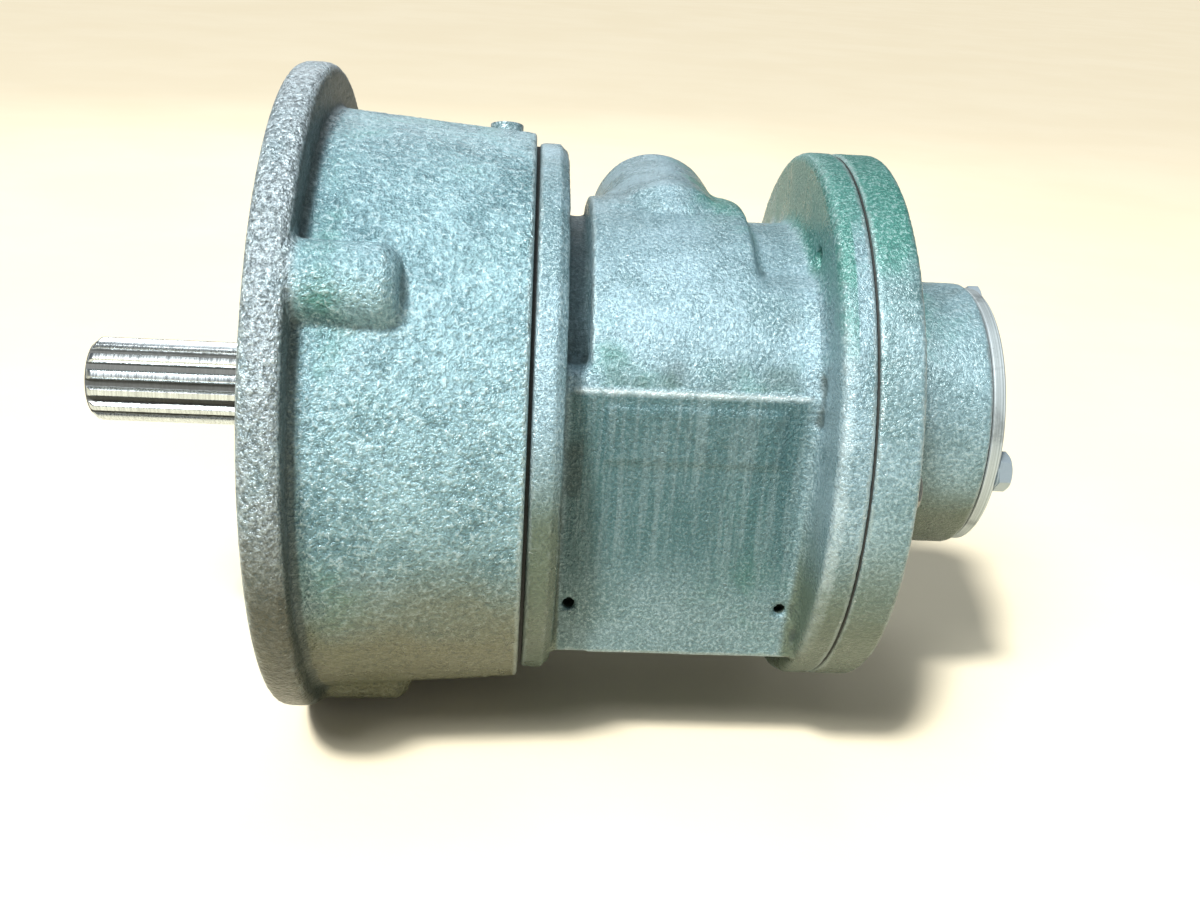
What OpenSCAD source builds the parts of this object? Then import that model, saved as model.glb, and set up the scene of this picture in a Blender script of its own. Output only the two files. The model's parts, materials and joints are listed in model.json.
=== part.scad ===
// Worm gearbox with a flanged bell housing and a splined output shaft.
// Millimetres. Origin: centre of the mounting face on the output axis.
// +X runs along the output axis towards the end cover, +Z towards the worm.

/* [Mounting flange and bell housing] */
// Radius of the mounting flange
flange_r = 120; // [117:0.5:124]
// Thickness of the mounting flange
flange_t = 13.5; // [12:0.5:16]
// Rear end of the bell housing
bell_end = 85.7; // [84.7:0.1:87.7]
// Outer radius of the bell where it leaves the flange
bell_r1 = 109; // [106:0.5:111]
// Outer radius of the bell at its rear rim
bell_r2 = 103.3; // [102:0.1:105]
// Wall of the bell
bell_wall = 9.5; // [8:0.5:11]
// How far the round castings hang below the output axis at the bell
bell_drop = 4.3; // [3:0.1:5]
// Radius of the locating spigot on the mounting face
spigot_r = 63.5; // [62:0.5:66]
// Radius of the circle of the three mounting bosses
boss_pcr = 105.5; // [104:0.5:107]
// Radius of each mounting boss
boss_r = 13; // [12:0.5:14]
// Angles of the bosses, measured from -Y towards -Z
boss_angles = [-37.5, 67, 195];

/* [Gear case] */
// Radius of the case flange that meets the bell
mid_r = 100; // [98:0.5:101.5]
// Radius of the round body of the case
body_r = 77.5; // [76:0.5:79]
// Half width over the two flat sides
flat_half = 72; // [71:0.5:73]
// Lowest flat of the case below the axis
foot_z = -71; // [-73:0.5:-70]
// Left end of the round body, where the neck groove ends
body_x0 = 105.5; // [104:0.5:107]
// Right end of the round body
body_x1 = 163; // [161:0.5:165]
// Left face of the rear flange
rear_x0 = 184.5; // [183:0.5:186]
// Joint face between the case and the end cover
rear_x1 = 196; // [195.5:0.5:197]
// Radius of the rear flange and the end cover
cover_r = 100.5; // [99:0.5:102]
// How far the rear flange hangs below the output axis
cover_drop = 3; // [2:0.1:4]

/* [End cover and cap] */
// Rear face of the end cover's disc
cover_x1 = 212; // [210:0.5:214]
// Rear face of the bearing hub
hub_x1 = 252; // [251:0.5:254]
// Outer radius of the bearing hub
hub_r = 51; // [50:0.5:52]
// Outer radius of the bearing cap
cap_r = 49.5; // [49:0.5:50.5]
// Thickness of the bearing cap
cap_t = 4.7; // [4:0.1:6]

/* [Worm gearing] */
// Axial module of the worm
gear_m = 2; // [2]
// Teeth on the worm wheel
wheel_teeth = 50; // [50]
// Pitch radius of the worm
worm_rp = 10; // [10]
// Position of the worm axis along the output axis
worm_x = 135; // [134:0.5:136]
// Outer radius of the worm tube
tube_r = 25; // [24.5:0.5:26]
// Far end of the worm tube
tube_y1 = 68; // [66:0.5:72]
// End of the keyed input shaft
input_y1 = 96; // [90:0.5:100]

/* [Output shaft] */
// End of the splined shaft
shaft_x0 = -78; // [-84:0.5:-70]
// Number of spline teeth
spline_teeth = 14; // [14]
// Outer radius of the spline
spline_r = 15.8; // [15.5:0.05:15.9]
// Root radius of the spline
spline_root = 13.5; // [13.2:0.1:13.8]

/* [Hidden] */
$fn = 64;
e = 0.02;
worm_c = gear_m * wheel_teeth / 2 + worm_rp;
worm_pitch = PI * gear_m;
case_x0 = bell_end + 1.2;
case_paint = [0.44, 0.56, 0.55];
steel = [0.66, 0.67, 0.66];
gasket_col = [0.13, 0.13, 0.12];
brg_x = [16, 222];
brg_w = 17;
cap_angles = [8.5, 128.5, 248.5];
screw6 = [0, 60, 120, 180, 240, 300];

// Solid of revolution about the output axis from [radius, x] points
module rev(pts) { rotate([0, 90, 0]) rotate_extrude($fn = 96) polygon(pts); }
// Cylinder along the output axis
module cx(x0, x1, r, r2 = undef) {
  translate([x0, 0, 0]) rotate([0, 90, 0]) cylinder(h = x1 - x0, r1 = r, r2 = is_undef(r2) ? r : r2, $fn = 96);
}
// Place children at an angle from -Y towards -Z, at a radius and at a drop
module at(a, r, drop = 0) { translate([0, -r * cos(a), -r * sin(a) - drop]) children(); }
// Move to the worm axis, with local +Z along +Y
module wy(y0 = 0) { translate([worm_x, y0, worm_c]) rotate([-90, 0, 0]) children(); }
// Hexagonal prism along X
module hex_x(x0, x1, af) { translate([x0, 0, 0]) rotate([0, 90, 0]) cylinder(h = x1 - x0, r = af / sqrt(3), $fn = 6); }
// Extrude a [y, z] outline along X
module ex(x0, x1) { translate([x0, 0, 0]) rotate([90, 0, 90]) linear_extrude(height = x1 - x0) children(); }
module ring(r1, r2) { difference() { circle(r = r2); circle(r = r1); } }

// ---- castings ----
module mount_boss(a) at(a, boss_pcr)
  rev([[0, flange_t - 4], [boss_r, flange_t - 4], [boss_r, 41], [boss_r - 4, 45], [0, 45]]);
module bell_housing() color(case_paint) difference() {
  union() {
    // flange, locating spigot and the quill that carries the front bearing
    rev([[0, -6], [spigot_r - 0.8, -6], [spigot_r, -5.2], [spigot_r, 0], [flange_r - 3, 0], [flange_r - 0.9, 0.9], [flange_r, 3],
      [flange_r, flange_t - 3.2], [flange_r - 1, flange_t - 1], [flange_r - 3.4, flange_t], [46, flange_t], [46, 48], [0, 48]]);
    translate([0, 0, -bell_drop]) rev([[bell_r1 - bell_wall, flange_t - 2], [bell_r1, flange_t - 2], [bell_r2, bell_end],
      [bell_r2 - bell_wall, bell_end]]);
    for (a = boss_angles) mount_boss(a);
    // ribs between the quill and the shell
    for (a = [53 : 60 : 353]) translate([0, 0, -bell_drop]) rotate([a, 0, 0]) translate([flange_t - 1, 42, -4]) cube([26, 61, 8]);
    // lands for the case screws
    for (a = screw6) at(a, 88, bell_drop) cx(58, bell_end, 9.5);
  }
  // output bore: seal seat, relief, bearing seat, circlip groove
  rev([[0, -7], [26, -7], [26, 3], [22, 3], [22, 8], [30, 8], [30, brg_x[0]], [36, brg_x[0]], [36, 33], [37.8, 33], [37.8, 35.1],
    [36, 35.1], [36, 49], [0, 49]]);
  // blind tapped holes in the bosses
  for (a = boss_angles) at(a, boss_pcr) cx(-1, 30, 5.1);
  for (a = screw6) at(a, 88, bell_drop) cx(62, bell_end + 1, 4);
  // filler hole and its spot face
  fill_at() { translate([0, 0, 99]) cylinder(h = 12, r = 8.4); translate([0, 0, 85]) cylinder(h = 20, r = 5.02); }
}
module fill_at() { translate([74, 0, 0]) rotate([-22.4, 0, 0]) children(); }
module bell_gasket() color(gasket_col) translate([0, 0, -bell_drop]) difference() {
  cx(bell_end, bell_end + 1.2, mid_r - 1.4);
  cx(bell_end - 1, bell_end + 2, 77);
  for (a = screw6) at(a, 88) cx(bell_end - 1, bell_end + 2, 4.3);
}
ridge_z = sqrt(body_r * body_r - flat_half * flat_half);
// Round body with its two sides planed flat
module body2d() intersection() {
  union() { circle(r = body_r, $fn = 96); translate([-flat_half - 5, foot_z]) square([2 * flat_half + 10, 90]); }
  translate([-flat_half, foot_z]) square([2 * flat_half, 200]);
}
// Valley next to the rear flange: sunk over the top, level with the body lower down
function valley_s(b) = let (t = min(1, max(0, (b - 49) / 12))) t * t * (3 - 2 * t);
module valley2d() {
  r = body_r - 0.1;
  t0 = acos(flat_half / r) + 0.7;
  polygon(concat([[-flat_half, foot_z], [flat_half, foot_z], [flat_half, ridge_z - 0.5]],
    [for (k = [0 : 36]) let (t = t0 + (180 - 2 * t0) * k / 36) (r - 6.9 * valley_s(min(t, 180 - t))) * [cos(t), sin(t)]],
    [[-flat_half, ridge_z - 0.5]]));
}
// Neck next to the bell: filled up to just above the flat sides, open over the top
module neck2d() {
  r = body_r - 0.6;
  pl = [for (a = [23.2, 24.6, 26]) r * [-cos(a), sin(a)]];
  pr = [for (a = [26, 24.6, 23.2]) r * [cos(a), sin(a)]];
  polygon(concat([[-flat_half, foot_z], [-flat_half, ridge_z - 0.5]], pl,
    [[-74 * cos(28), 74 * sin(28)], [-67 * cos(31), 67 * sin(31)], [67 * cos(31), 67 * sin(31)], [74 * cos(28), 74 * sin(28)]],
    pr, [[flat_half, ridge_z - 0.5], [flat_half, foot_z]]));
}
module gear_case() color(case_paint) difference() {
  union() {
    translate([0, 0, -bell_drop]) rev([[0, case_x0], [mid_r - 0.8, case_x0], [mid_r, case_x0 + 0.8], [mid_r, 94.6], [mid_r - 1.6, 95.6],
      [mid_r - 2.6, 97.5], [0, 97.5]]);
    cx(96, 186, 69.6);
    ex(95, body_x0 + 0.5) neck2d();
    ex(body_x0, body_x1) body2d();
    ex(body_x1 - 0.5, rear_x0 + 1) valley2d();
    translate([0, 0, -cover_drop]) rev([[0, rear_x0], [cover_r - 3.4, rear_x0], [cover_r - 1, rear_x0 + 1], [cover_r, rear_x0 + 3.4],
      [cover_r, rear_x1], [0, rear_x1]]);
    // raised pad and the worm tube
    ex(113, 159) polygon([[-9, 60], [-9, 78], [-3, 78.9], [13, 78], [26, 75.6], [42, 67.5], [46, 60], [46, 50], [0, 45]]);
    wy() rotate_extrude($fn = 96) polygon([[0, -12], [19, -12], [tube_r, -2], [tube_r, tube_y1 - 1.5], [tube_r - 1.5, tube_y1], [0, tube_y1]]);
    // drain boss under the case, and a plain raised plate on the side
    translate([worm_x, 0, -75]) cylinder(h = 12, r = 13);
    translate([112, -flat_half - 0.8, 4]) cube([60, 2, 19]);
  }
  // way through to the bell, wheel chamber, register for the end cover; a land is left that carries the worm bush
  difference() {
    rev([[0, 84], [45, 84], [45, 98], [64.8, 98], [64.8, 184], [64.1, 184], [64.1, rear_x1 + 1], [0, rear_x1 + 1]]);
    wy(-42) cylinder(h = 27, r = 13.2);
  }
  cx(worm_x - 9.5, worm_x + 9.5, 54.5);
  // worm bore, bearing seat, circlip groove
  wy() rotate_extrude($fn = 96) polygon([[0, -31], [8, -31], [8, -20], [13.6, -20], [13.6, 38], [20, 38], [20, 50], [21.4, 50],
    [21.4, 51.75], [20, 51.75], [20, tube_y1 + 1], [0, tube_y1 + 1]]);
  // case screws, countersunk flush
  for (a = screw6) at(a, 88, bell_drop) rev([[0, 84], [4.2, 84], [4.2, 93.4], [8.4, 97.6], [8.4, 99], [0, 99]]);
  // tapped holes and dowel holes in the rear flange; one of the tapped holes runs right through
  for (a = screw6) at(a - 3, 80, cover_drop) cx(a == 300 ? rear_x0 - 1 : rear_x0 + 3, rear_x1 + 1, 4.05);
  for (a = [15, 195]) at(a, 82, cover_drop) cx(189, rear_x1 + 1, 3);
  // small drilled holes low in the side faces
  for (x = [102.8, 178.2], s = [-1, 1]) translate([x, s * (flat_half + 1), -51.3]) rotate([s * 90, 0, 0]) cylinder(h = 8, r = 2.2, $fn = 32);
  // drain and level holes
  translate([worm_x, 0, -76]) cylinder(h = 20, r = 6.02);
  translate([worm_x, 50, -20]) rotate([-90, 0, 0]) cylinder(h = 30, r = 6.02);
}
module cover_gasket() color(gasket_col) difference() {
  translate([0, 0, -cover_drop]) cx(rear_x1, rear_x1 + 0.6, cover_r - 0.8);
  cx(rear_x1 - 1, rear_x1 + 2, 64.6);
  for (a = screw6) at(a - 3, 80, cover_drop) cx(rear_x1 - 1, rear_x1 + 2, 4.3);
  for (a = [15, 195]) at(a, 82, cover_drop) cx(rear_x1 - 1, rear_x1 + 2, 3.2);
}
module end_cover() color(case_paint) difference() {
  union() {
    translate([0, 0, -cover_drop]) rev([[0, rear_x1 + 0.6], [cover_r - 0.6, rear_x1 + 0.6], [cover_r, rear_x1 + 1.2],
      [cover_r, cover_x1 - 1.4], [cover_r - 1.4, cover_x1], [0, cover_x1]]);
    cx(188, rear_x1 + 1, 64);
    rev([[0, cover_x1 - 1], [hub_r + 5, cover_x1 - 1], [hub_r + 4, cover_x1 + 0.6], [hub_r + 1.2, cover_x1 + 2], [hub_r, cover_x1 + 5],
      [hub_r, hub_x1 - 1], [hub_r - 1, hub_x1], [0, hub_x1]]);
  }
  cx(187, 203, 55);
  cx(203 - e, brg_x[1], 29);
  cx(brg_x[1] - e, hub_x1 + 1, 36);
  for (a = screw6) at(a - 3, 80, cover_drop) cx(rear_x1, cover_x1 + 1, 4.3);
  for (a = cap_angles) at(a, 43.5) cx(235, hub_x1 + 1, 4);
  for (a = [15, 195]) at(a, 82, cover_drop) cx(rear_x1, 204, 3);
}
module cap_gasket() color(gasket_col) difference() {
  cx(hub_x1, hub_x1 + 0.5, cap_r - 1);
  cx(hub_x1 - 1, hub_x1 + 1, 36.6);
  for (a = cap_angles) at(a, 43.5) cx(hub_x1 - 1, hub_x1 + 1, 4.3);
}
module bearing_cap() color([0.62, 0.66, 0.65]) difference() {
  union() {
    rev([[0, hub_x1 + 0.5], [cap_r - 0.4, hub_x1 + 0.5], [cap_r, hub_x1 + 0.9], [cap_r, hub_x1 + cap_t - 0.2],
      [cap_r - 0.7, hub_x1 + 0.5 + cap_t], [0, hub_x1 + 0.5 + cap_t]]);
    cx(239.1, hub_x1 + 1, 35.9);
  }
  cx(239, hub_x1 + 0.5, 30);
  for (a = cap_angles) at(a, 43.5) cx(hub_x1, hub_x1 + 8, 4.3);
}

// ---- fasteners and plugs ----
module cap_screws() color([0.74, 0.76, 0.78]) for (a = cap_angles) at(a, 43.5) {
  cx(237, hub_x1 + 0.5 + cap_t + e, 3.95);
  hex_x(hub_x1 + 0.5 + cap_t, hub_x1 + 6 + cap_t, 13);
}
module cover_screws() color(steel) for (a = screw6) at(a - 3, 80, cover_drop) {
  cx(rear_x0 + 4, cover_x1 + e, 3.98);
  hex_x(cover_x1, cover_x1 + 5.5, 13);
}
module case_screws() color(steel) for (a = screw6) at(a, 88, bell_drop) difference() {
  union() { cx(66, 94, 3.95); cx(93.6, 97.3, 3.95, 7.6); }
  hex_x(94.6, 98, 5);
}
module dowel_pins() color(steel) for (a = [15, 195]) at(a, 82, cover_drop) cx(190, 203.5, 2.99);
module fill_plug() color([0.30, 0.38, 0.36]) fill_at() difference() {
  union() { translate([0, 0, 99]) cylinder(h = 5.6, r = 6.4); translate([0, 0, 90]) cylinder(h = 9.5, r = 5); }
  translate([0, 0, 101.4]) cylinder(h = 4, r = 6 / sqrt(3), $fn = 6);
}
module drain_plug() color(steel) translate([worm_x, 0, -75]) {
  cylinder(h = 9, r = 6);
  translate([0, 0, -2]) cylinder(h = 2, r = 10);
  translate([0, 0, -8]) cylinder(h = 6 + e, r = 14 / sqrt(3), $fn = 6);
}
module level_plug() color(steel) translate([worm_x, flat_half, -20]) rotate([-90, 0, 0]) {
  translate([0, 0, -8]) cylinder(h = 8 + e, r = 6);
  cylinder(h = 2, r = 10);
  translate([0, 0, 2 - e]) cylinder(h = 6, r = 14 / sqrt(3), $fn = 6);
}

// ---- output shaft and worm wheel ----
module spline2d() {
  st = 360 / spline_teeth;
  polygon([for (i = [0 : spline_teeth - 1], p = [[spline_root, -9.4], [spline_root + 1.1, -6.9], [spline_r, -4.4], [spline_r, -1.5], [spline_r, 1.5], [spline_r, 4.4], [spline_root + 1.1, 6.9], [spline_root, 9.4]])
    p[0] * [cos(i * st + p[1]), sin(i * st + p[1])]]);
}
module output_shaft() color(steel) difference() {
  union() {
    intersection() {
      ex(shaft_x0, -7.9) spline2d();
      rev([[0, shaft_x0], [spline_root + 0.2, shaft_x0], [spline_r + 0.4, shaft_x0 + 2.6], [spline_r + 0.4, -7.9], [0, -7.9]]);
    }
    rev([[0, -8], [spline_root - 0.4, -8], [spline_root - 0.4, -6], [16.9, -6], [17.48, -5.4], [17.48, 33], [21, 33], [21, 119], [24, 119],
      [24, 125], [19.97, 125], [19.97, 157], [17.48, 157], [17.48, 239], [16.6, 239], [16.6, 240.9], [17.48, 240.9], [17.48, 245], [16.5, 246], [0, 246]]);
  }
  translate([128, -6, 15]) cube([26, 12, 9]);
  // lathe centre in the splined end
  cx(shaft_x0 - 1, shaft_x0 + 5, 3.6, 0.6);
}
module wheel_centre() color([0.50, 0.50, 0.48]) difference() {
  rev([[20, 125], [29.5, 125], [29.5, 123], [46, 123], [46, 127], [36, 127], [36, 143], [29, 143], [29, 157.5], [20, 157.5]]);
  translate([124, -6, 15]) cube([34, 12, 8.2]);
  for (a = screw6) at(a, 41) cx(122, 128, 2.6);
}
module wheel_slot() {
  rotate([0, 0, -atan(gear_m / (2 * worm_rp))]) ex(-14, 14)
    polygon([[-0.87, 47.5], [0.87, 47.5], [3.35, 53.7], [-3.35, 53.7]]);
}
module wheel_rim() color([0.71, 0.54, 0.26]) difference() {
  rev([[36, 127], [52.6, 127], [51.9, 130.5], [51.9, 139.5], [52.6, 143], [36, 143]]);
  for (i = [0 : wheel_teeth - 1]) translate([worm_x, 0, 0]) rotate([i * 360 / wheel_teeth, 0, 0]) wheel_slot();
  for (a = screw6) at(a, 41) cx(126, 139, 2.55);
}
module wheel_rim_bolts() color(steel) for (a = screw6) at(a, 41) { cx(123 - e, 138, 2.5); hex_x(119.5, 123, 8); }
module wheel_key() color(steel) translate([128, -6, 15]) cube([26, 12, 8]);
module rear_spacer() color(steel) rev([[17.52, 157.5], [22.5, 157.5], [22.5, 222], [17.52, 222]]);
module rear_circlip() color(steel) difference() {
  rev([[16.62, 239.1], [20.6, 239.1], [20.6, 240.8], [16.62, 240.8]]);
  translate([238, -3, -22]) cube([4, 6, 22]);
}

// ---- bearings on the output shaft: bore 35, outside 72, width 17 ----
module brg_outer(x) rotate([0, 90, 0]) rotate_extrude($fn = 96) difference() {
  translate([31, x]) square([5, brg_w]);
  translate([26.75, x + brg_w / 2]) circle(r = 5.6);
}
module brg_inner(x) rotate([0, 90, 0]) rotate_extrude($fn = 96) difference() {
  translate([17.5, x]) square([5.1, brg_w]);
  translate([26.75, x + brg_w / 2]) circle(r = 5.6);
}
module brg_cage(x) difference() {
  rev([[25.3, x + 1.5], [28.2, x + 1.5], [28.2, x + 15.5], [25.3, x + 15.5]]);
  for (i = [0 : 8]) rotate([i * 40, 0, 0]) translate([x + brg_w / 2, -20, 0]) rotate([90, 0, 0]) cylinder(h = 15, r = 5.7);
}
module brg_balls(x) for (i = [0 : 8]) at(i * 40, 26.75) translate([x + brg_w / 2, 0, 0]) sphere(r = 5.5);
module front_bearing_outer() color(steel) brg_outer(brg_x[0]);
module front_bearing_inner() color(steel) brg_inner(brg_x[0]);
module front_bearing_cage() color([0.71, 0.58, 0.30]) brg_cage(brg_x[0]);
module front_bearing_balls() color([0.8, 0.8, 0.8]) brg_balls(brg_x[0]);
module rear_bearing_outer() color(steel) brg_outer(brg_x[1]);
module rear_bearing_inner() color(steel) brg_inner(brg_x[1]);
module rear_bearing_cage() color([0.71, 0.58, 0.30]) brg_cage(brg_x[1]);
module rear_bearing_balls() color([0.8, 0.8, 0.8]) brg_balls(brg_x[1]);
module front_bearing_circlip() color(steel) difference() {
  rev([[33.4, 33.1], [37.7, 33.1], [37.7, 35], [33.4, 35]]);
  translate([32, -4, -40]) cube([4, 8, 40]);
}
module front_oil_seal() color([0.10, 0.10, 0.10])
  rev([[26, -5], [26, 3], [24, 3], [24, -3], [20.5, -3], [20.5, 0.5], [18.4, 1.2], [17.54, -0.2], [18.6, -2], [18.6, -5]]);

// ---- worm and input shaft ----
function worm_sec(a) = // radius of the thread's cross-section at angle a from its crest
  let (d = abs(a) * PI / 180, lo = 0.72, hi = 2.32) d <= lo ? 12 : d >= hi ? 7.6 : 12 - 4.4 * (d - lo) / (hi - lo);
worm_y0 = -14;
worm_len = 30;
module worm() color(steel)
  wy(worm_y0) linear_extrude(height = worm_len, twist = -360 * worm_len / worm_pitch, slices = 66, convexity = 6, $fn = 12)
    rotate(90 + 360 * worm_y0 / worm_pitch) difference() {
      polygon([for (a = [-180, -156, -133, -112, -92, -74, -57, -41.3, -28, -14, 0, 14, 28, 41.3, 57, 74, 92, 112, 133, 156])
        worm_sec(a) * [cos(a), sin(a)]]);
      circle(r = 6.15, $fn = 16);
    }
module worm_shaft() color(steel) difference() {
  translate([worm_x, 0, worm_c]) rotate([-90, 0, 0]) rotate_extrude($fn = 96)
    polygon([[0, -30.5], [5, -30.5], [5.48, -30], [5.48, -19.5], [5.98, -19.5], [5.98, 16.1], [9, 16.1], [9, 33], [10.2, 33], [10.2, 38], [8.49, 38],
      [8.49, 50.05], [7.9, 50.05], [7.9, 51.25], [8.49, 51.25], [8.49, 53], [8, 53], [8, input_y1 - 1], [7, input_y1], [0, input_y1]]);
  translate([worm_x - 2.5, input_y1 - 26, worm_c + 5]) cube([5, 22, 4]);
}
module worm_bush() color([0.71, 0.54, 0.26]) wy(-31) linear_extrude(height = 11) ring(5.53, 7.95);
module worm_thrust_washer() color([0.71, 0.54, 0.26]) wy(-16.2) linear_extrude(height = 1.6) ring(6.05, 8.8);
module worm_bearing_outer() color(steel) wy(38) rotate_extrude($fn = 96) difference() {
  translate([16.5, 0]) square([3.49, 12]);
  translate([14.25, 6]) circle(r = 3.45);
}
module worm_bearing_inner() color(steel) wy(38) rotate_extrude($fn = 96) difference() {
  translate([8.5, 0]) square([3.5, 12]);
  translate([14.25, 6]) circle(r = 3.45);
}
module worm_bearing_cage() color([0.71, 0.58, 0.30]) wy(38) difference() {
  translate([0, 0, 1.2]) linear_extrude(height = 9.6) ring(13.4, 15.1);
  for (i = [0 : 7]) rotate([0, 0, i * 45]) translate([10, 0, 6]) rotate([0, 90, 0]) cylinder(h = 10, r = 3.55);
}
module worm_bearing_balls() color([0.8, 0.8, 0.8]) wy(38) for (i = [0 : 7]) rotate([0, 0, i * 45]) translate([14.25, 0, 6]) sphere(r = 3.35, $fn = 48);
module worm_bore_circlip() color(steel) wy(50.05) linear_extrude(height = 1.65) difference() {
  ring(17.4, 21.3);
  translate([-3.5, -23]) square([7, 10]);
}
module worm_shaft_circlip() color(steel) wy(50.1) linear_extrude(height = 1.1) difference() {
  ring(7.93, 10.9);
  translate([-1.6, -14]) square([3.2, 10]);
}
module input_seal() color([0.10, 0.10, 0.10]) translate([worm_x, 0, worm_c]) rotate([-90, 0, 0]) rotate_extrude($fn = 96)
  polygon([[19.98, 56], [19.98, 63], [9.2, 63], [9.2, 61.5], [8.04, 60.2], [9, 58.6], [11, 61], [18.2, 61], [18.2, 56]]);
module input_key() color(steel) translate([worm_x - 2.5, input_y1 - 26, worm_c + 5]) cube([5, 22, 5]);

bell_housing();
bell_gasket();
gear_case();
cover_gasket();
end_cover();
cap_gasket();
bearing_cap();
cap_screws();
cover_screws();
case_screws();
dowel_pins();
fill_plug();
drain_plug();
level_plug();
output_shaft();
wheel_centre();
wheel_rim();
wheel_rim_bolts();
wheel_key();
rear_spacer();
rear_circlip();
front_bearing_outer();
front_bearing_inner();
front_bearing_cage();
front_bearing_balls();
front_bearing_circlip();
front_oil_seal();
rear_bearing_outer();
rear_bearing_inner();
rear_bearing_cage();
rear_bearing_balls();
worm();
worm_shaft();
worm_bush();
worm_thrust_washer();
worm_bearing_outer();
worm_bearing_inner();
worm_bearing_cage();
worm_bearing_balls();
worm_bore_circlip();
worm_shaft_circlip();
input_seal();
input_key();
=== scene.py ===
import json
import math
import bpy
import numpy as np
from mathutils import Matrix, Vector

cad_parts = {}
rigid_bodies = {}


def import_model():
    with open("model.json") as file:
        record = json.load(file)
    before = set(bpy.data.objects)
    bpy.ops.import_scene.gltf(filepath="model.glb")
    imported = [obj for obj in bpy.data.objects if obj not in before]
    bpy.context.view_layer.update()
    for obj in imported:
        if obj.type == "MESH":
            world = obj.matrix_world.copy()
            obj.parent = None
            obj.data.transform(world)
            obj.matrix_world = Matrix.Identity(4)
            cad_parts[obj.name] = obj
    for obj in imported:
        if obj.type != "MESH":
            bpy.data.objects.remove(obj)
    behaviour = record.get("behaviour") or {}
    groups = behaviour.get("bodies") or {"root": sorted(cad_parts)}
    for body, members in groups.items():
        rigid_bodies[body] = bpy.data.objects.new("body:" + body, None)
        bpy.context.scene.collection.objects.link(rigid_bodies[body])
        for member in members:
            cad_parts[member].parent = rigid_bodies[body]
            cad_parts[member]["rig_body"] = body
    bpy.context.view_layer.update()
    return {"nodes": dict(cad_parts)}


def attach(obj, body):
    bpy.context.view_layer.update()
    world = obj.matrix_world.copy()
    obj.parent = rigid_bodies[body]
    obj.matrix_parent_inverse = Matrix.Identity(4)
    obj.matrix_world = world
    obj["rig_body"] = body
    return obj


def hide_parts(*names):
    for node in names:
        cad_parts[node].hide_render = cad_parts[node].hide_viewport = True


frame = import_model()
NODES = frame["nodes"]
scene = bpy.context.scene

# ------------------------------------------------------------------ numbers in mm, as in the CAD
BELL_DROP, COVER_DROP = 4.3, 3.0
BOSSES = (-37.5, 67.0, 195.0)
BOSS_PCR = 105.5


# ------------------------------------------------------------------ seeded noise
def _perm(seed):
    g = np.random.RandomState(seed)
    p = g.permutation(256)
    v = g.normal(size=(256, 3))
    v /= np.linalg.norm(v, axis=1)[:, None]
    return np.concatenate([p, p, p]), v


def perlin(p, seed):
    """Gradient noise, about -1 to 1, at an (n, 3) array of points."""
    perm, grad = _perm(seed)
    i = np.floor(p).astype(np.int64)
    f = p - i
    u = f * f * f * (f * (f * 6 - 15) + 10)
    i &= 255
    out = 0
    for dx in (0, 1):
        for dy in (0, 1):
            for dz in (0, 1):
                h = perm[perm[perm[(i[:, 0] + dx) & 255] + ((i[:, 1] + dy) & 255)] + ((i[:, 2] + dz) & 255)]
                d = grad[h]
                n = d[:, 0] * (f[:, 0] - dx) + d[:, 1] * (f[:, 1] - dy) + d[:, 2] * (f[:, 2] - dz)
                w = (u[:, 0] if dx else 1 - u[:, 0]) * (u[:, 1] if dy else 1 - u[:, 1]) * (u[:, 2] if dz else 1 - u[:, 2])
                out = out + n * w
    return out * 1.6


def smoothstep(a, b, x):
    t = np.clip((x - a) / (b - a), 0, 1)
    return t * t * (3 - 2 * t)


# ------------------------------------------------------------------ mesh helpers
def new_object(name, mesh):
    o = bpy.data.objects.new(name, mesh)
    scene.collection.objects.link(o)
    return o


def mesh_from(name, verts, faces, smooth=True):
    """A mesh from vertices in mm and faces."""
    me = bpy.data.meshes.new(name)
    me.from_pydata([tuple(c / 1000 for c in v) for v in verts], [], faces)
    me.validate()
    me.update()
    if smooth:
        me.shade_smooth()
    return me


def co_of(me):
    a = np.empty(len(me.vertices) * 3, np.float32)
    me.vertices.foreach_get("co", a)
    return a.reshape(-1, 3).astype(float) * 1000


def set_co(me, p):
    me.vertices.foreach_set("co", (p / 1000).astype(np.float32).ravel())
    me.update()


def normals_of(me):
    a = np.empty(len(me.vertices) * 3, np.float32)
    me.vertex_normals.foreach_get("vector", a)
    return a.reshape(-1, 3).astype(float)


def edges_of(me):
    a = np.empty(len(me.edges) * 2, np.int32)
    me.edges.foreach_get("vertices", a)
    return a.reshape(-1, 2)


def average(p, e, deg):
    n = len(p)
    s = np.stack([np.bincount(e[:, 0], p[e[:, 1], k], n) + np.bincount(e[:, 1], p[e[:, 0], k], n) for k in range(p.shape[1])], 1)
    return s / deg[:, None]


def attribute(me, name, values):
    a = me.attributes.get(name) or me.attributes.new(name, "FLOAT", "POINT")
    a.data.foreach_set("value", values.astype(np.float32))


def smooth_by_angle(me, degrees=32):
    me.shade_smooth()
    me.set_sharp_from_angle(angle=math.radians(degrees))


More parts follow.
